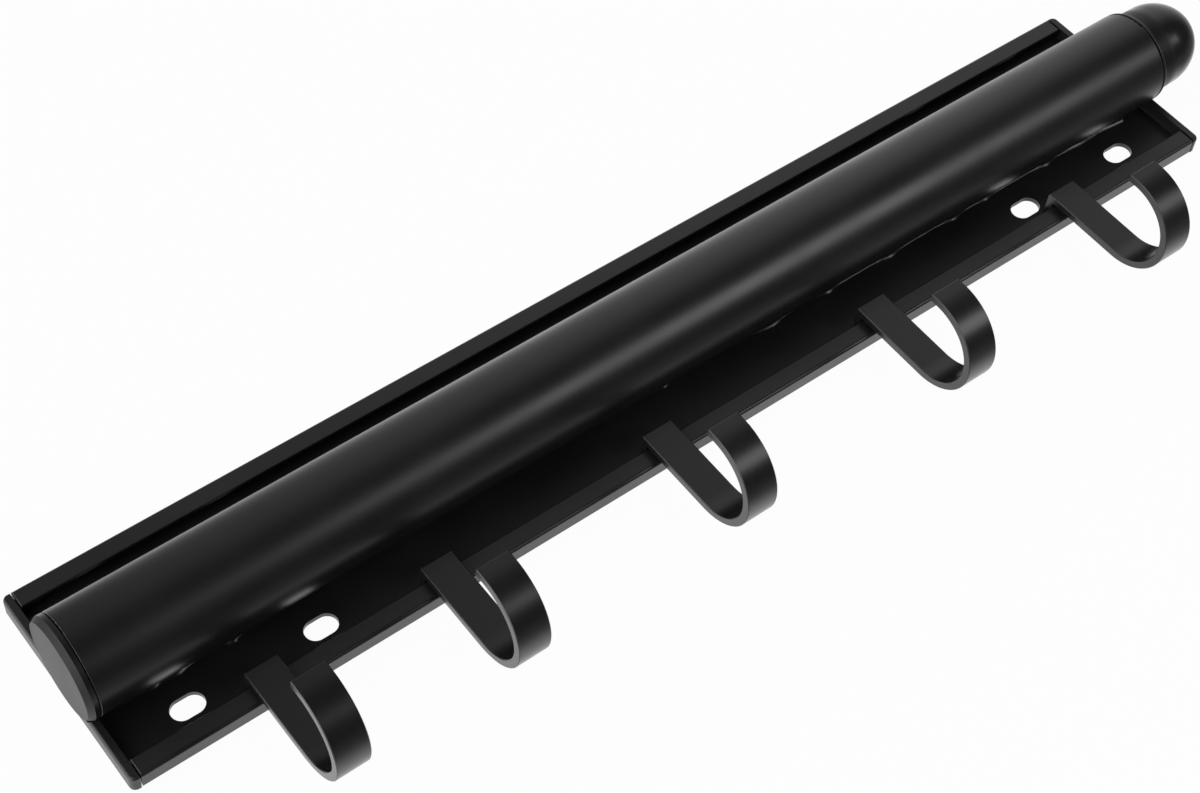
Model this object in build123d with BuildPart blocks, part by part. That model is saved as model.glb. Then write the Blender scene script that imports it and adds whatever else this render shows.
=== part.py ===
"""Telescopic clothes rod: a wall channel with a bonded tube, a pull-out rod and sliding hooks.

Millimetres. The back of the channel lies in the plane y = 0 against the wall, the front faces -Y, the rod
runs along X and slides out towards +X, and the hooks hang down, towards -Z. The origin is the middle of
the wall-screw slots on the back.
"""

import os
from math import atan2, degrees

from build123d import *

os.makedirs("parts", exist_ok=True)

# Length of the back channel, which the tube bonded to it follows
rail_length = 400.0

# Back channel
channel_width = 69.6
channel_depth = 5.8
floor_wall = 1.6
side_wall = 1.6
lip_wall = 1.5
lip_reach = 6.0
front_bend_radius = 1.0
back_edge_radius = 0.5
lip_edge_radius = 0.35
inner_corner_radius = 0.4
lip_end_chamfer = 0.4

# Wall-screw slots, in two rectangles of four
slot_length = 10.4
slot_width = 6.9
slot_end_margin = 21.5
slot_pair_pitch = 42.7
slot_edge_margin = 12.9

# End caps
cap_plate = 2.7
cap_gap = 0.4
cap_corner_radius = 2.0
cap_edge_radius = 1.0
cap_notch_gap = 0.6
tongue_length = 6.5
tongue_width = 4.0
tongue_clearance = 0.1

# Outer tube, bonded along the channel's floor
tube_diameter = 31.75
tube_wall = 1.2
tube_drop = 1.8
tube_seat_gap = 0.05
tube_overhang = 0.3
tube_setback = 1.4
mouth_edge_radius = 0.6
rear_edge_radius = 0.35

# Bead in the wedge between the tube and the floor
bead_left_margin = 2.0
bead_right_margin = 8.0
bead_root = 3.5
bead_toe = 10.5
bead_crown = 9.2
bead_sag = 0.25
bond_gap = 0.02

# Plug in the tube's left end
plug_head = 3.3
plug_bevel = 1.8
plug_bevel_rise = 1.0
plug_seat_gap = 0.3
plug_spigot = 12.0
plug_spigot_gap = 0.02
plug_spigot_lead = 0.6

# Inner rod
guide_room = 1.975
rod_wall = 1.1
rod_rear_room = 7.5

# Guide bush in the tube's mouth
collar_step = 0.08
collar_thickness = 1.3
collar_seat_gap = 0.4
collar_back_radius = 0.2
collar_front_radius = 0.9
bush_length = 27.0
bush_neck_depth = 0.9
bush_seat_gap = 0.02
rod_running_gap = 0.06

# Dome knob on the rod's front end
knob_shoulder = 1.5
knob_skirt = 8.5
knob_nose = 1.15
knob_tip_ease = 1.25
knob_rear_gap = 0.3
knob_rear_radius = 0.5
knob_spigot = 18.0
knob_spigot_gap = 0.02
knob_spigot_lead = 0.8

# Slider on the rod's rear end, with its friction ring
slider_length = 25.0
slider_end_wall = 2.0
slider_running_gap = 0.08
slider_seat_gap = 0.02
ring_width = 3.0
ring_depth = 1.3
ring_side_gap = 0.02
ring_running_gap = 0.035

# Hooks: slices of a J-shaped profile that clip round the channel's lower lip
# Their places are shares of the rail's length, from its middle
hook_width = 10.7
hook_strip = 2.7
hook_lift = 0.9
hook_bend_radius = 17.45
hook_bend_drop = 19.95
hook_leg = 3.1
hook_lip_clearance = 0.2
hook_foot_wall = 1.6
hook_foot_reach = 2.6
hook_foot_clearance = 0.3
hook_corner_radius = 0.5
hook_tip_radius = 0.6
hook_edge_chamfer = 0.25
hook_shares = {
    "hook_1": -0.394,
    "hook_2": -0.2503,
    "hook_3": -0.0533,
    "hook_4": 0.1573,
    "hook_5": 0.364,
}

# Places that several pieces share
rail_end = rail_length / 2
channel_side = channel_width / 2
tube_radius = tube_diameter / 2
bore_radius = tube_radius - tube_wall
tube_y = -(floor_wall + tube_seat_gap + tube_radius)
tube_z = -tube_drop
tube_axis = Axis((0, tube_y, tube_z), (1, 0, 0))
turning_plane = Plane(origin=(0, tube_y, tube_z), x_dir=(1, 0, 0), z_dir=(0, -1, 0))
tube_rear = -rail_end - tube_overhang
tube_mouth = rail_end - tube_setback
rod_radius = bore_radius - guide_room
collar_back = tube_mouth + collar_seat_gap
collar_face = collar_back + collar_thickness
rod_front = collar_face + knob_rear_gap
spigot_end = tube_rear + plug_spigot
slider_rear = spigot_end + rod_rear_room
rod_rear = slider_rear + slider_end_wall
lip_edge = channel_side - lip_reach
lip_back = channel_depth - lip_wall


def turned(*outline):
    """Solid of revolution about the tube's axis, from (x, radius) corners."""
    with BuildPart() as piece:
        with BuildSketch(turning_plane):
            with BuildLine():
                Polyline(*outline, close=True)
            make_face()
        revolve(axis=tube_axis)
    return piece


# Back channel: one C-section along X, with the slots cut through its floor
outer_slot_pitch = rail_length - 2 * slot_end_margin
inner_slot_pitch = outer_slot_pitch - 2 * slot_pair_pitch
slot_row_pitch = channel_width - 2 * slot_edge_margin
with BuildPart() as back_channel:
    with BuildSketch(Plane.YZ) as channel_section:
        with BuildLine():
            Polyline(
                (0, 0),
                (0, channel_side),
                (-channel_depth, channel_side),
                (-channel_depth, lip_edge),
                (-lip_back, lip_edge),
                (-lip_back, channel_side - side_wall),
                (-floor_wall, channel_side - side_wall),
                (-floor_wall, 0),
                close=True,
            )
        make_face()
        mirror(about=Plane.XZ)
        front_corners = channel_section.vertices().group_by(Axis.X)[0].sort_by(Axis.Y)
        fillet((front_corners[0], front_corners[-1]), front_bend_radius)
        back_corners = channel_section.vertices().group_by(Axis.X)[-1].sort_by(Axis.Y)
        fillet((back_corners[0], back_corners[-1]), back_edge_radius)
        lip_corners = channel_section.vertices().filter_by(
            lambda corner: abs(abs(corner.Y) - lip_edge) < lip_edge_radius
        )
        fillet(lip_corners, lip_edge_radius)
        pocket_corners = channel_section.vertices().filter_by(
            lambda corner: abs(abs(corner.Y) - (channel_side - side_wall)) < inner_corner_radius / 2
        )
        fillet(pocket_corners, inner_corner_radius)
    extrude(amount=rail_end, both=True)
    with BuildSketch(Plane.XZ):
        with GridLocations(outer_slot_pitch, slot_row_pitch, 2, 2):
            SlotOverall(slot_length, slot_width)
        with GridLocations(inner_slot_pitch, slot_row_pitch, 2, 2):
            SlotOverall(slot_length, slot_width)
    extrude(amount=floor_wall, mode=Mode.SUBTRACT)
    with BuildSketch(Plane.XY):
        with BuildLine():
            Polyline(
                (rail_end, -channel_depth),
                (rail_end - lip_end_chamfer, -channel_depth),
                (rail_end, -channel_depth + lip_end_chamfer),
                close=True,
            )
        make_face()
        mirror(about=Plane.YZ)
    extrude(amount=channel_side, both=True, mode=Mode.SUBTRACT)
back_channel.part.label = "back_channel"
export_step(back_channel.part, "parts/back_channel.step")

# Right end cap: a plate of the channel's outline, notched round the tube, with two tongues
# that plug in under the lips
plate_inner = rail_end + cap_gap
tongue_depth = lip_back - floor_wall - 2 * tongue_clearance
tongue_middle = -(floor_wall + lip_back) / 2
tongue_row = channel_side - side_wall - tongue_clearance - tongue_width / 2
with BuildPart() as right_end_cap:
    with BuildSketch(Plane.XZ) as plate_outline:
        with Locations((plate_inner + cap_plate / 2, 0)):
            Rectangle(cap_plate, channel_width)
        fillet(plate_outline.vertices().group_by(Axis.X)[-1], cap_corner_radius)
    extrude(amount=channel_depth)
    front_face = right_end_cap.faces().sort_by(Axis.Y)[0]
    fillet(front_face.edges().sort_by(Axis.X)[1:], cap_edge_radius)
    with BuildSketch(Plane.YZ.offset(plate_inner)):
        with Locations((tube_y, tube_z)):
            Circle(tube_radius + cap_notch_gap)
    extrude(amount=cap_plate, mode=Mode.SUBTRACT)
    with BuildSketch(Plane.YZ.offset(plate_inner)) as tongue_section:
        with Locations((tongue_middle, tongue_row), (tongue_middle, -tongue_row)):
            Rectangle(tongue_depth, tongue_width)
        fillet(tongue_section.vertices(), inner_corner_radius)
    extrude(amount=-(tongue_length + cap_gap))
right_end_cap.part.label = "right_end_cap"
export_step(right_end_cap.part, "parts/right_end_cap.step")

# Left end cap: the same moulding, mirrored
with BuildPart() as left_end_cap:
    mirror(right_end_cap.part, about=Plane.YZ)
left_end_cap.part.label = "left_end_cap"
export_step(left_end_cap.part, "parts/left_end_cap.step")

# Outer tube: rounded at its mouth, and a little at its rear edge
outer_tube = turned(
    (tube_rear, bore_radius),
    (tube_rear, tube_radius),
    (tube_mouth, tube_radius),
    (tube_mouth, bore_radius),
)
with outer_tube:
    mouth_edge = outer_tube.faces().sort_by(Axis.X)[-1].edges().sort_by(SortBy.RADIUS)[-1]
    fillet(mouth_edge, mouth_edge_radius)
    rear_edge = outer_tube.faces().sort_by(Axis.X)[0].edges().sort_by(SortBy.RADIUS)[-1]
    fillet(rear_edge, rear_edge_radius)
outer_tube.part.label = "outer_tube"
export_step(outer_tube.part, "parts/outer_tube.step")

# Bead: one run in each wedge beside the line where the tube meets the floor
with BuildPart() as bond_bead:
    bead_start = -rail_end + bead_left_margin
    bead_length = rail_length - bead_left_margin - bead_right_margin
    bead_radius = tube_radius + bond_gap
    root_rise = (bead_radius**2 - bead_root**2) ** 0.5
    crown_rise = (bead_radius**2 - bead_crown**2) ** 0.5
    toe_middle = (bead_toe + bead_crown) / 2
    crown_y = tube_y + crown_rise
    with BuildSketch(Plane.YZ.offset(bead_start)):
        for side in (-1, 1):
            with BuildLine():
                floor_line = Line(
                    (-floor_wall, tube_z + side * bead_root),
                    (-floor_wall, tube_z + side * bead_toe),
                )
                free_face = ThreePointArc(
                    floor_line @ 1,
                    ((crown_y - floor_wall) / 2 + bead_sag, tube_z + side * (toe_middle - bead_sag)),
                    (crown_y, tube_z + side * bead_crown),
                )
                tube_face = RadiusArc(
                    free_face @ 1,
                    (tube_y + root_rise, tube_z + side * bead_root),
                    side * bead_radius,
                )
                Line(tube_face @ 1, floor_line @ 0)
            make_face()
    extrude(amount=bead_length)
bond_bead.part.label = "bond_bead"
export_step(bond_bead.part, "parts/bond_bead.step")

# Plug in the tube's left end: a flat head with a bevelled rim, and a spigot in the bore
plug_inner = tube_rear - plug_seat_gap
plug_face = plug_inner - plug_head
spigot_radius = bore_radius - plug_spigot_gap
tube_end_plug = turned(
    (plug_face, 0),
    (plug_face, tube_radius - plug_bevel_rise),
    (plug_face + plug_bevel, tube_radius),
    (plug_inner, tube_radius),
    (plug_inner, spigot_radius),
    (spigot_end - plug_spigot_lead, spigot_radius),
    (spigot_end, spigot_radius - plug_spigot_lead),
    (spigot_end, 0),
)
tube_end_plug.part.label = "tube_end_plug"
export_step(tube_end_plug.part, "parts/tube_end_plug.step")

# Mouth bush: a sleeve in the tube's mouth, necked in behind the collar that continues the tube's outside
bush_bore = rod_radius + rod_running_gap
collar_radius = tube_radius - collar_step
bush_rear = tube_mouth - bush_length
bush_radius = bore_radius - bush_seat_gap
neck_radius = bush_radius - bush_neck_depth
mouth_bush = turned(
    (bush_rear, bush_bore),
    (bush_rear, bush_radius),
    (tube_mouth - collar_seat_gap, bush_radius),
    (tube_mouth - collar_seat_gap, neck_radius),
    (collar_back, neck_radius),
    (collar_back, collar_radius),
    (collar_face, collar_radius),
    (collar_face, bush_bore),
)
with mouth_bush:
    collar_edges = mouth_bush.edges().filter_by(GeomType.CIRCLE).sort_by(SortBy.RADIUS)[-2:].sort_by(Axis.X)
    fillet(collar_edges[0], collar_back_radius)
    fillet(collar_edges[1], collar_front_radius)
mouth_bush.part.label = "mouth_bush"
export_step(mouth_bush.part, "parts/mouth_bush.step")

# Inner tube: the rod that slides out
inner_tube = turned(
    (rod_rear, rod_radius - rod_wall),
    (rod_rear, rod_radius),
    (rod_front, rod_radius),
    (rod_front, rod_radius - rod_wall),
)
inner_tube.part.label = "inner_tube"
export_step(inner_tube.part, "parts/inner_tube.step")

# Dome knob: a short skirt and a dome of two tangent arcs, with a spigot in the rod's front end
knob_radius = rod_radius + knob_shoulder
knob_spigot_radius = rod_radius - rod_wall - knob_spigot_gap
skirt_end = rod_front + knob_skirt
tip_reach = knob_nose + knob_tip_ease
side_drop = (tip_reach**2 - knob_tip_ease**2) / (2 * knob_tip_ease)
side_arc_turn = degrees(atan2(tip_reach, side_drop))
with BuildPart() as dome_knob:
    with BuildSketch(turning_plane):
        with BuildLine():
            knob_line = Polyline(
                (skirt_end + knob_radius + knob_nose, 0),
                (rod_front - knob_spigot, 0),
                (rod_front - knob_spigot, knob_spigot_radius - knob_spigot_lead),
                (rod_front - knob_spigot + knob_spigot_lead, knob_spigot_radius),
                (rod_front, knob_spigot_radius),
                (rod_front, knob_radius),
                (skirt_end, knob_radius),
            )
            side_arc = JernArc(knob_line @ 1, (1, 0), knob_radius + side_drop, -side_arc_turn)
            TangentArc(side_arc @ 1, knob_line @ 0, tangent=side_arc % 1)
        make_face()
    revolve(axis=tube_axis)
    rear_rim = dome_knob.edges().filter_by(GeomType.CIRCLE).filter_by(
        lambda edge: abs(edge.radius - knob_radius) < knob_spigot_gap
    )
    fillet(rear_rim.sort_by(Axis.X)[0], knob_rear_radius)
dome_knob.part.label = "dome_knob"
export_step(dome_knob.part, "parts/dome_knob.step")

# Rear slider: a cup on the rod's rear end that runs in the bore, grooved for the friction ring
slider_radius = bore_radius - slider_running_gap
slider_bore = rod_radius + slider_seat_gap
slider_front = slider_rear + slider_length
groove_rear = (slider_rear + slider_front - ring_width) / 2
groove_front = groove_rear + ring_width
groove_radius = slider_radius - ring_depth
rear_slider = turned(
    (slider_rear, 0),
    (slider_rear, slider_radius),
    (groove_rear, slider_radius),
    (groove_rear, groove_radius),
    (groove_front, groove_radius),
    (groove_front, slider_radius),
    (slider_front, slider_radius),
    (slider_front, slider_bore),
    (rod_rear, slider_bore),
    (rod_rear, 0),
)
rear_slider.part.label = "rear_slider"
export_step(rear_slider.part, "parts/rear_slider.step")

# Friction ring: fills the slider's groove and drags on the bore
friction_ring = turned(
    (groove_rear + ring_side_gap, groove_radius + ring_side_gap),
    (groove_rear + ring_side_gap, bore_radius - ring_running_gap),
    (groove_front - ring_side_gap, bore_radius - ring_running_gap),
    (groove_front - ring_side_gap, groove_radius + ring_side_gap),
)
friction_ring.part.label = "friction_ring"
export_step(friction_ring.part, "parts/friction_ring.step")

# Hooks: foot under the lip, riser behind its edge, run over it, round bend and short leg
riser_outer = -lip_edge + hook_lip_clearance
riser_inner = riser_outer + hook_strip
run_back = -channel_depth - hook_lift
run_front = run_back - hook_strip
inner_bend_radius = hook_bend_radius - hook_strip
bend_z = -channel_side - hook_bend_drop
leg_inner = run_front - 2 * inner_bend_radius
leg_outer = run_back - 2 * hook_bend_radius
foot_front = -lip_back + hook_foot_clearance
foot_back = foot_front + hook_foot_wall
for hook_name, hook_share in hook_shares.items():
    with BuildPart() as hook:
        with BuildSketch(Plane.YZ.offset(hook_share * rail_length)) as strip_side:
            with BuildLine():
                clip_line = Polyline(
                    (run_back, bend_z),
                    (run_back, riser_outer),
                    (foot_front, riser_outer),
                    (foot_front, riser_outer - hook_foot_reach),
                    (foot_back, riser_outer - hook_foot_reach),
                    (foot_back, riser_inner),
                    (run_front, riser_inner),
                    (run_front, bend_z),
                )
                inner_bend = RadiusArc(clip_line @ 1, (leg_inner, bend_z), inner_bend_radius)
                tip_line = Polyline(
                    inner_bend @ 1,
                    (leg_inner, bend_z + hook_leg),
                    (leg_outer, bend_z + hook_leg),
                    (leg_outer, bend_z),
                )
                RadiusArc(tip_line @ 1, clip_line @ 0, -hook_bend_radius)
            make_face()
            bent_corner = strip_side.vertices().filter_by(
                lambda corner: corner.X < run_back and abs(corner.Y - riser_inner) < hook_lip_clearance
            )
            fillet(bent_corner, hook_corner_radius)
            tip_corners = strip_side.vertices().filter_by(
                lambda corner: corner.X < leg_inner + hook_tip_radius and corner.Y > bend_z + hook_tip_radius
            )
            fillet(tip_corners, hook_tip_radius)
        extrude(amount=hook_width / 2, both=True)
        side_edges = hook.faces().filter_by(Axis.X).edges()
        chamfer(side_edges, hook_edge_chamfer)
    hook.part.label = hook_name
    export_step(hook.part, f"parts/{hook_name}.step")
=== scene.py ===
"""Looks of the telescopic clothes rod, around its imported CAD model.

Metres, in the part's own frame: the wall is the plane y = 0, the front faces -Y, the rod runs along X
and slides out towards +X, and the hooks hang down, towards -Z.
"""

import bpy
import numpy as np
from mathutils import Matrix, Vector


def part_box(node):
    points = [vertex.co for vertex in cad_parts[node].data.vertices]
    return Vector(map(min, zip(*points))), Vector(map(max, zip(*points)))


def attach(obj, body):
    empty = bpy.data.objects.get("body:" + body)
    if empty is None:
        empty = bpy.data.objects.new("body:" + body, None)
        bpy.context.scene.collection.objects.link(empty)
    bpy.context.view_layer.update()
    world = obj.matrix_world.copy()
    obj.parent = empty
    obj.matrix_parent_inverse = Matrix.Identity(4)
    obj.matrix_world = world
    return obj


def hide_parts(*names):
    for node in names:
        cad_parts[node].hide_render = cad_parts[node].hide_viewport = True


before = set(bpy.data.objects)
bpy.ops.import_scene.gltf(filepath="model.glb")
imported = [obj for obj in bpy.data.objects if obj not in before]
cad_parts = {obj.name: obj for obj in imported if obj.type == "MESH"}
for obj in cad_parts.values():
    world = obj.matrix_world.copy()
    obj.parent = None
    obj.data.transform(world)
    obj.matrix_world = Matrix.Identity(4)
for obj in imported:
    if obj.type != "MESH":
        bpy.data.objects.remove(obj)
bpy.context.view_layer.update()


# Back channel: a lipped C-shaped rail, extruded in aluminium, sawn to length and slotted for wall screws.
# It is powder coated satin black, with a fine orange peel and a few grains of dust caught in the coat.
def ramp(tree, source, start, end, at_start, at_end, curve="LINEAR"):
    """Socket that goes from at_start to at_end while the source goes from start to end, and is level
    outside them. The curve is a straight line, or the cubic 3t^2 - 2t^3 for SMOOTHSTEP."""
    node = tree.nodes.new("ShaderNodeMapRange")
    node.interpolation_type = curve
    node.inputs["From Min"].default_value = start
    node.inputs["From Max"].default_value = end
    node.inputs["To Min"].default_value = at_start
    node.inputs["To Max"].default_value = at_end
    tree.links.new(source, node.inputs["Value"])
    return node.outputs["Result"]


def combine(tree, operation, one, other):
    """Socket with the sum, product or larger value of two sockets, as the operation says."""
    node = tree.nodes.new("ShaderNodeMath")
    node.operation = operation
    tree.links.new(one, node.inputs[0])
    tree.links.new(other, node.inputs[1])
    return node.outputs["Value"]


def coat_material(name, colour, roughness, peel, dust=0.0):
    """Satin black coat. Broad clouds of noise vary its roughness by 8 % and its colour by 15 % either way,
    and fine noise is the orange peel, a bump of peel metres. The cells of a scatter whose random grey is
    over 1 - dust hold one pale grain each. Scales are per metre, and a grain's radii in cell widths."""
    cloud_scale, cloud_detail = 38.0, 4.0
    cloud_low, cloud_high = 0.3, 0.7
    gloss_swing, tint_swing = 0.08, 0.15
    peel_scale, peel_detail = 1400.0, 2.0
    grain_scale, grain_grey = 250.0, 0.12
    grain_core, grain_rim = 0.04, 0.06
    grain_cut = 0.01

    material = bpy.data.materials.new(name)
    material.use_nodes = True
    tree = material.node_tree
    shader = tree.nodes["Principled BSDF"]
    shader.inputs["IOR"].default_value = 1.5
    place = tree.nodes.new("ShaderNodeTexCoord").outputs["Object"]

    def noise(scale, detail):
        texture = tree.nodes.new("ShaderNodeTexNoise")
        texture.inputs["Scale"].default_value = scale
        texture.inputs["Detail"].default_value = detail
        tree.links.new(place, texture.inputs["Vector"])
        return texture.outputs["Fac"]

    cloud = noise(cloud_scale, cloud_detail)
    glossiest = roughness * (1.0 - gloss_swing)
    dullest = roughness * (1.0 + gloss_swing)
    gloss = ramp(tree, cloud, cloud_low, cloud_high, glossiest, dullest)
    tree.links.new(gloss, shader.inputs["Roughness"])

    tint = tree.nodes.new("ShaderNodeMix")
    tint.data_type = "RGBA"
    tint.inputs["A"].default_value = (*[(1.0 - tint_swing) * c for c in colour], 1.0)
    tint.inputs["B"].default_value = (*[(1.0 + tint_swing) * c for c in colour], 1.0)
    tree.links.new(ramp(tree, cloud, cloud_low, cloud_high, 0.0, 1.0), tint.inputs["Factor"])
    shade = tint.outputs["Result"]
    if dust:
        points = tree.nodes.new("ShaderNodeTexVoronoi")
        points.inputs["Scale"].default_value = grain_scale
        tree.links.new(place, points.inputs["Vector"])
        round_spot = ramp(tree, points.outputs["Distance"], grain_core, grain_rim, 1.0, 0.0)
        dusty_cell = ramp(tree, points.outputs["Color"], 1.0 - dust, 1.0 - dust + grain_cut, 0.0, 1.0)
        speck = tree.nodes.new("ShaderNodeMix")
        speck.data_type = "RGBA"
        speck.inputs["B"].default_value = (grain_grey, grain_grey, grain_grey, 1.0)
        tree.links.new(combine(tree, "MULTIPLY", round_spot, dusty_cell), speck.inputs["Factor"])
        tree.links.new(shade, speck.inputs["A"])
        shade = speck.outputs["Result"]
    tree.links.new(shade, shader.inputs["Base Color"])

    skin = tree.nodes.new("ShaderNodeBump")
    skin.inputs["Strength"].default_value = 1.0
    skin.inputs["Distance"].default_value = peel
    tree.links.new(noise(peel_scale, peel_detail), skin.inputs["Height"])
    tree.links.new(skin.outputs["Normal"], shader.inputs["Normal"])
    return material


def coat_node(name, material):
    """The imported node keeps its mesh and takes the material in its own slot."""
    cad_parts[name].material_slots[0].material = material


# The channel's black is a little paler than the tube's, though both have the same coat: painted light that
# lifts the dark floor of its recess.
channel_lifted_black = (0.0105, 0.0105, 0.0107)
channel_coat = coat_material("channel_coat", channel_lifted_black, roughness=0.36, peel=4e-6, dust=0.15)
coat_node("back_channel", channel_coat)


# End caps: two thin mouldings of black plastic that close the channel's ends. They are pushed on, and the
# tongues on each of them grip under the lips.
satin_black = (0.008, 0.008, 0.0082)
cap_plastic = coat_material("cap_moulding", satin_black, roughness=0.42, peel=6e-6)
coat_node("left_end_cap", cap_plastic)
coat_node("right_end_cap", cap_plastic)


# Outer tube: a drawn aluminium tube with the same kind of coat as the channel. It lies along the channel's
# floor, and a bead of resin on each side holds it there.
coat_node("outer_tube", coat_material("tube_coat", satin_black, roughness=0.36, peel=4e-6))


# Tube end plug: a round moulding of black plastic, pushed into the tube's left end. Its face and its bevel
# keep the matte grain of the mould, and the side beyond them is satin.
def along_x(material, start, end, at_start, at_end):
    """Smooth step of the piece's own X, as a socket of the material."""
    tree = material.node_tree
    place = tree.nodes.new("ShaderNodeSeparateXYZ")
    tree.links.new(tree.nodes.new("ShaderNodeTexCoord").outputs["Object"], place.inputs["Vector"])
    return ramp(tree, place.outputs["X"], start, end, at_start, at_end, curve="SMOOTHSTEP")


def scale_roughness(material, factor):
    """The coat's roughness times the factor's socket."""
    tree = material.node_tree
    roughness = tree.nodes["Principled BSDF"].inputs["Roughness"]
    tree.links.new(combine(tree, "MULTIPLY", roughness.links[0].from_socket, factor), roughness)


plug_black = (0.007, 0.007, 0.0072)
plug_moulding = coat_material("plug_moulding", plug_black, roughness=0.33, peel=1.6e-5)
plug_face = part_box("tube_end_plug")[0][0]
matte_until = plug_face + 0.0015
satin_from = plug_face + 0.0021
face_dullness = 1.85
scale_roughness(plug_moulding, along_x(plug_moulding, matte_until, satin_from, face_dullness, 1.0))
coat_node("tube_end_plug", plug_moulding)


# Bonding bead: black resin run by hand into the two wedges between the tube and the channel's floor. It set
# glossy, with a rounded toe on the floor, lumps where it was squeezed out, and a hollow face up to the tube.
tube_low, tube_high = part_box("outer_tube")
tube_radius = (tube_high[2] - tube_low[2]) / 2
tube_y = (tube_low[1] + tube_high[1]) / 2
tube_z = (tube_low[2] + tube_high[2]) / 2
bead_low, bead_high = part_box("bond_bead")
bead_floor = bead_high[1]
bead_root = 0.0035
bead_gap = 0.00002
bead_seat = tube_radius + bead_gap
# The toe's reach from the tube's middle plane: short on the left, longer where more resin came out
left_toe = 0.0093
right_toe = 0.00985
squeezed_from = 0.062
squeezed_to = 0.068
# Two waves of the toe, as (height, radians per metre). The long one is shifted by this angle on each side
long_wave = (0.00003, 900.0)
short_wave = (0.00001, 2300.0)
wave_shift = 1.3
# The rim on the floor, the crown where the face meets the tube, and the rounded ends
rim_radius = 0.00045
rim_growth = 0.15
rim_turn = 75.0
crown_setback = 0.0013
crown_clearance = 0.0002
face_hollow = 0.25
end_round = 0.0015
end_reach = bead_root + 0.0008
end_rim = 0.2
# Lumps as (x, half length, how far the toe stands out)
lower_lumps = [(-0.1810, 0.0170, 0.0007), (-0.1835, 0.0026, 0.0007), (-0.1758, 0.0030, 0.0010),
               (-0.1577, 0.0024, 0.0015), (-0.0060, 0.0022, 0.0010), (0.0358, 0.0062, 0.0018),
               (0.0595, 0.0042, 0.0016), (0.0854, 0.0042, 0.0012), (0.1130, 0.0034, 0.0012),
               (0.1275, 0.0026, 0.0008), (0.1548, 0.0034, 0.0012), (0.1720, 0.0075, 0.0008),
               (0.1915, 0.0090, 0.0015)]
upper_lumps = [(-0.1620, 0.0040, 0.0008), (-0.0870, 0.0060, 0.0006), (0.0210, 0.0030, 0.0009),
               (0.0930, 0.0050, 0.0007), (0.1660, 0.0030, 0.0010)]


def smooth_step(value, start, end):
    """0 before start, 1 after end, and the cubic 3t^2 - 2t^3 between them."""
    share = np.clip((value - start) / (end - start), 0.0, 1.0)
    return share * share * (3.0 - 2.0 * share)


def seat_height(reach):
    """Height above the floor of a circle just outside the tube, at a reach from the tube's middle plane."""
    return bead_floor - (tube_y + np.sqrt(bead_seat**2 - reach**2))


def bent(along, first, bend, last):
    """Quadratic curve from first to last, drawn towards bend."""
    return (1 - along)**2 * first + 2 * along * (1 - along) * bend + along**2 * last


def bead_run(side, lumps, stations=1041, rim_steps=10, face_steps=8):
    """Closed profile carried along X. Its toe, measured from the tube's middle plane, is a base reach with
    two faint waves and a bell-shaped lump at each place in the list, and the ends close in a half round.
    Across, the profile is an arc on the floor (the rim, thicker on a lump), a hollow quadratic curve from
    it to the tube (the face), the tube's own circle down to the root, and the floor."""
    x = np.linspace(bead_low[0], bead_high[0], stations)[:, None]
    swell = np.zeros_like(x)
    for place, half_length, rise in lumps:
        swell = swell + rise * np.exp(-((x - place) / half_length) ** 2)
    toe = left_toe + (right_toe - left_toe) * smooth_step(x, squeezed_from, squeezed_to)
    toe = toe + long_wave[0] * np.sin(long_wave[1] * x + wave_shift * side)
    toe = toe + short_wave[0] * np.sin(short_wave[1] * x) + swell
    inset = np.clip(np.minimum(x - bead_low[0], bead_high[0] - x) / end_round, 0.0, 1.0)
    end_share = np.sqrt(inset * (2.0 - inset))
    toe = end_reach + (toe - end_reach) * end_share

    rim = (rim_radius + rim_growth * swell) * (end_rim + (1.0 - end_rim) * end_share)
    turn = np.radians(np.linspace(0.0, rim_turn, rim_steps))[None, :]
    rim_reach = toe - rim * (1.0 - np.cos(turn))
    rim_height = rim * np.sin(turn)

    along = np.linspace(0.0, 1.0, face_steps + 1)[None, 1:]
    start_reach, start_height = rim_reach[:, -1:], rim_height[:, -1:]
    crown_reach = np.maximum(toe - crown_setback, bead_root + crown_clearance)
    crown_height = seat_height(crown_reach)
    bend_height = start_height + face_hollow * (crown_height - start_height)
    face_reach = bent(along, start_reach, crown_reach, crown_reach)
    face_height = bent(along, start_height, bend_height, crown_height)

    under_reach = crown_reach + (bead_root - crown_reach) * along
    reach = np.hstack([rim_reach, face_reach, under_reach, np.full_like(x, bead_root)])
    height = np.hstack([rim_height, face_height, seat_height(under_reach), np.zeros_like(x)])
    return np.stack([np.broadcast_to(x, reach.shape), bead_floor - height, tube_z + side * reach], axis=-1)


def closed_tube(name, rings):
    """Mesh of one or more closed profiles along a path: quads between stations, a polygon on each end."""
    points, faces = [], []
    for ring in rings:
        stations, around = ring.shape[:2]
        base = sum(len(block) for block in points)
        index = base + np.arange(stations * around).reshape(stations, around)
        after = np.roll(index, -1, axis=1)
        quads = np.stack([index[:-1], after[:-1], after[1:], index[1:]], axis=-1).reshape(-1, 4)
        points.append(ring.reshape(-1, 3))
        faces += quads.tolist() + [index[0, ::-1].tolist(), index[-1].tolist()]
    mesh = bpy.data.meshes.new(name)
    mesh.from_pydata(np.vstack(points).tolist(), [], faces)
    mesh.validate()
    mesh.polygons.foreach_set("use_smooth", [True] * len(mesh.polygons))
    piece = bpy.data.objects.new(name, mesh)
    bpy.context.scene.collection.objects.link(piece)
    return piece


# The lower profile is mirrored, so its points are taken the other way round to face outwards
lower_run = bead_run(-1, lower_lumps)[:, ::-1]
upper_run = bead_run(1, upper_lumps)
bead = closed_tube("resin_bead", [lower_run, upper_run])
bead.data.materials.append(coat_material("bead_resin", satin_black, roughness=0.24, peel=4e-6))
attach(bead, "rail")
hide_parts("bond_bead")


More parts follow.
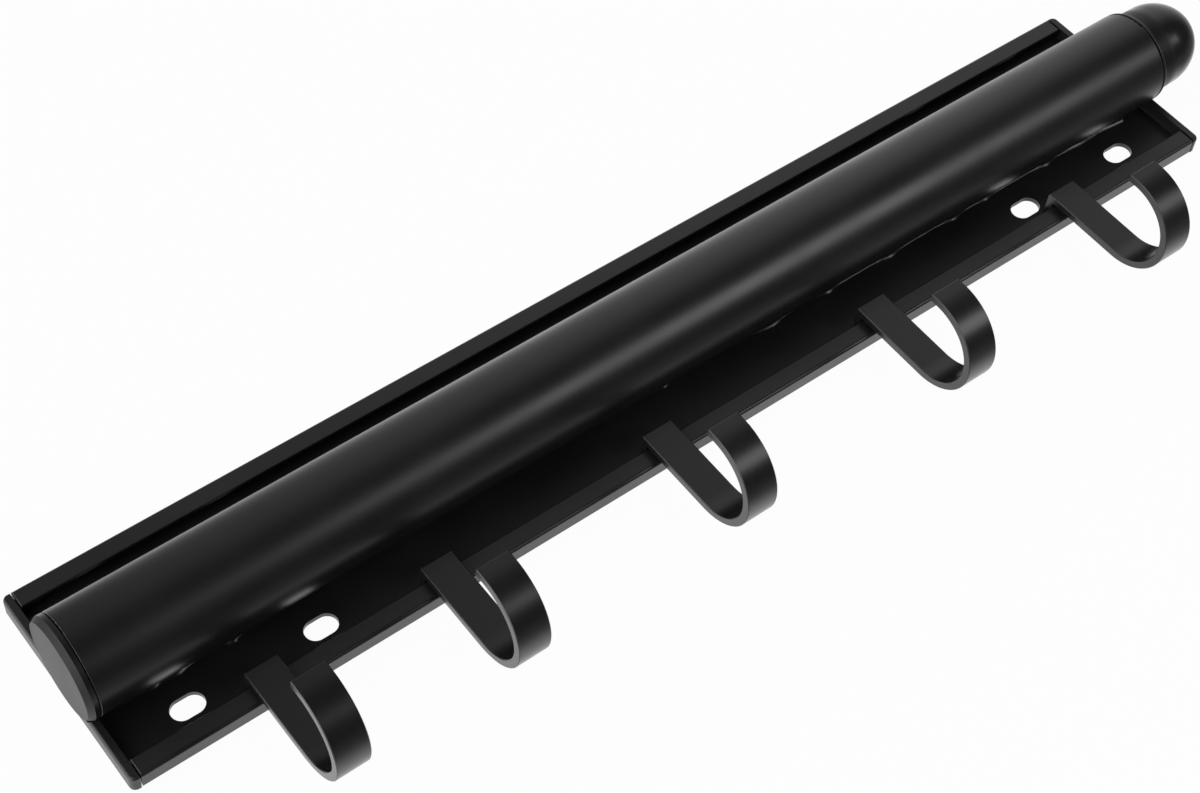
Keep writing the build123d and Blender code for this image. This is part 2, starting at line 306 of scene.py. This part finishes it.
# Mouth bush: a sleeve of moulded plastic, pressed into the tube's right end. It guides the rod, and only its
# thin collar shows.
bush_plastic = coat_material("bush_moulding", satin_black, roughness=0.4, peel=4e-6)
coat_node("mouth_bush", bush_plastic)


# Inner rod: the thinner aluminium tube that slides out through the bush. It is coated like the outer tube,
# and a little smoother.
coat_node("inner_tube", coat_material("rod_coat", satin_black, roughness=0.33, peel=2e-6))


# Rear slider and friction ring: a cup of the bush's plastic on the rod's hidden end, and the rubber ring in
# its groove. The ring rubs in the tube's bore and keeps the rod where it is put.
coat_node("rear_slider", bush_plastic)
ring_grey = (0.02, 0.02, 0.02)
coat_node("friction_ring", coat_material("ring_rubber", ring_grey, roughness=0.6, peel=6e-6))


# Dome knob: the domed pull, moulded in black plastic, whose spigot is pushed into the rod's front end. Its
# skirt keeps the fine grain of the mould, and use has polished the dome beyond it.
dome_moulding = coat_material("dome_moulding", satin_black, roughness=0.22, peel=4e-6)
dull_until = 0.2040
polished_from = 0.2078
skirt_dullness = 2.0
skirt_shine, dome_shine = 0.24, 0.5
scale_roughness(dome_moulding, along_x(dome_moulding, dull_until, polished_from, skirt_dullness, 1.0))
knob_shine = along_x(dome_moulding, dull_until, polished_from, skirt_shine, dome_shine)
knob_tree = dome_moulding.node_tree
knob_tree.links.new(knob_shine, knob_tree.nodes["Principled BSDF"].inputs["Specular IOR Level"])
coat_node("dome_knob", dome_moulding)


# Hooks: five slices of an extruded aluminium J-shaped profile, coated like the tube. Their heads clip round
# the channel's lower lip, and they slide along it.
hook_coat = coat_material("hook_coat", satin_black, roughness=0.33, peel=4e-6)
for hook_name in ("hook_1", "hook_2", "hook_3", "hook_4", "hook_5"):
    coat_node(hook_name, hook_coat)


# Wall: a pale plane just behind the channel's back, seen only from its front side. The camera sees it as
# white paper with a little of its own shading, for the shadow. Mirror rays go through it to the world.
wall_gap = 0.001
wall_reach = 3.0
wall_white = 0.965
wall_grey = 0.85
wall_mesh = bpy.data.meshes.new("wall")
wall_corners = [(-wall_reach, wall_gap, -wall_reach), (wall_reach, wall_gap, -wall_reach),
                (wall_reach, wall_gap, wall_reach), (-wall_reach, wall_gap, wall_reach)]
wall_mesh.from_pydata(wall_corners, [], [(0, 1, 2, 3)])
wall = bpy.data.objects.new("wall", wall_mesh)
bpy.context.scene.collection.objects.link(wall)
wall_paint = bpy.data.materials.new("wall_paint")
wall_paint.use_nodes = True
wall_tree = wall_paint.node_tree
wall_tree.nodes.remove(wall_tree.nodes["Principled BSDF"])
matte = wall_tree.nodes.new("ShaderNodeBsdfDiffuse")
matte.inputs["Color"].default_value = (wall_grey, wall_grey, wall_grey, 1.0)
paper = wall_tree.nodes.new("ShaderNodeEmission")
paper.inputs["Color"].default_value = (1.0, 1.0, 1.0, 1.0)
clear = wall_tree.nodes.new("ShaderNodeBsdfTransparent")
rays = wall_tree.nodes.new("ShaderNodeLightPath")
white_share = wall_tree.nodes.new("ShaderNodeMath")
white_share.operation = "MULTIPLY"
white_share.inputs[1].default_value = wall_white
wall_tree.links.new(rays.outputs["Is Camera Ray"], white_share.inputs[0])
front = wall_tree.nodes.new("ShaderNodeMixShader")
wall_tree.links.new(white_share.outputs["Value"], front.inputs[0])
wall_tree.links.new(matte.outputs["BSDF"], front.inputs[1])
wall_tree.links.new(paper.outputs["Emission"], front.inputs[2])
back_side = wall_tree.nodes.new("ShaderNodeNewGeometry").outputs["Backfacing"]
let_through = combine(wall_tree, "MAXIMUM", back_side, rays.outputs["Is Glossy Ray"])
one_sided = wall_tree.nodes.new("ShaderNodeMixShader")
wall_tree.links.new(let_through, one_sided.inputs[0])
wall_tree.links.new(front.outputs["Shader"], one_sided.inputs[1])
wall_tree.links.new(clear.outputs["BSDF"], one_sided.inputs[2])
wall_tree.links.new(one_sided.outputs["Shader"], wall_tree.nodes["Material Output"].inputs["Surface"])
wall_mesh.materials.append(wall_paint)


# World: white to the camera. To the object it is a dim studio: white paper behind it with a strip of light
# above, a large pale panel beyond its top and right side, and a soft glow and a window on its left.
world = bpy.data.worlds.new("studio")
bpy.context.scene.world = world
world.use_nodes = True
world_tree = world.node_tree
air = world_tree.nodes["Background"]
air.inputs["Color"].default_value = (1.0, 1.0, 1.0, 1.0)
toward = world_tree.nodes.new("ShaderNodeSeparateXYZ")
direction = world_tree.nodes.new("ShaderNodeTexCoord").outputs["Generated"]
world_tree.links.new(direction, toward.inputs["Vector"])


def fade(axis, start, end, at_start, at_end):
    """Smooth step of the direction's component along axis."""
    return ramp(world_tree, toward.outputs[axis], start, end, at_start, at_end, curve="SMOOTHSTEP")


def both(one, other):
    """Light only where both fades have it: their product."""
    return combine(world_tree, "MULTIPLY", one, other)


panel_light, panel_spill, panel_foot = 0.9, 0.1, 0.05
panel = both(fade("X", 0.05, 0.55, panel_spill, panel_light), fade("Z", -0.1, 0.6, panel_foot, 1.0))
front_dusk, paper_edge, paper_light = 0.03, 0.25, 1.05
paper_rim = fade("Y", -0.1, 0.3, front_dusk, paper_edge)
paper_middle = fade("Y", 0.36, 0.77, 0.0, paper_light)
strip_light = 0.36
top_strip = both(fade("Y", 0.25, 0.6, 0.0, strip_light), fade("Z", 0.45, 0.75, 0.0, 1.0))
glow_light, glow_foot = 1.7, 0.2
glow_side = both(fade("X", -0.65, -0.27, glow_light, 0.0), fade("Z", -0.8, -0.4, glow_foot, 1.0))
left_glow = both(glow_side, fade("Y", 0.1, 0.5, 1.0, 0.0))
window_light = 2.4
window_side = both(fade("X", -0.94, -0.74, window_light, 0.0), fade("Z", -0.6, -0.3, 0.0, 1.0))
left_window = both(window_side, fade("Z", 0.4, 0.7, 1.0, 0.0))
studio = panel
for light in (paper_rim, paper_middle, top_strip, left_glow, left_window):
    studio = combine(world_tree, "ADD", studio, light)
camera_ray = world_tree.nodes.new("ShaderNodeLightPath").outputs["Is Camera Ray"]
world_tree.links.new(combine(world_tree, "MAXIMUM", camera_ray, studio), air.inputs["Strength"])


# Lamp: a round softbox far off on the lower right, facing the rail's middle. It draws the highlight along
# the tube, the dome and the hooks.
key_place = Vector((1.5, -1.8, -1.86))
key_light = bpy.data.lights.new("key", "AREA")
key_light.shape = "DISK"
key_light.size = 1.2
key_light.energy = 17.5
key = bpy.data.objects.new("key", key_light)
key_turn = (-key_place).to_track_quat("-Z", "Y").to_matrix().to_4x4()
key.matrix_world = Matrix.Translation(key_place) @ key_turn
bpy.context.scene.collection.objects.link(key)


# Camera: at the photograph's place, found by fitting the rail's own corners. The lens has no shift, and its
# focal length is in pixels of the photograph.
focal_pixels = 2281.4
image_width = 1200
lens = bpy.data.cameras.new("view")
lens.sensor_width = 36.0
lens.sensor_fit = "HORIZONTAL"
lens.lens = lens.sensor_width * focal_pixels / image_width
lens.clip_start = 0.01
camera = bpy.data.objects.new("view", lens)
right = Vector((0.79172, -0.05597, -0.60831))
down = Vector((-0.45991, 0.60079, -0.65386))
forward = Vector((0.40207, 0.79744, 0.44992))
eye = Vector((-0.29909, -0.54727, -0.31096))
camera.matrix_world = Matrix((right, -down, -forward)).transposed().to_4x4()
camera.matrix_world.translation = eye
bpy.context.scene.collection.objects.link(camera)
bpy.context.scene.camera = camera
bpy.context.scene.view_settings.view_transform = "Standard"

bpy.context.view_layer.update()
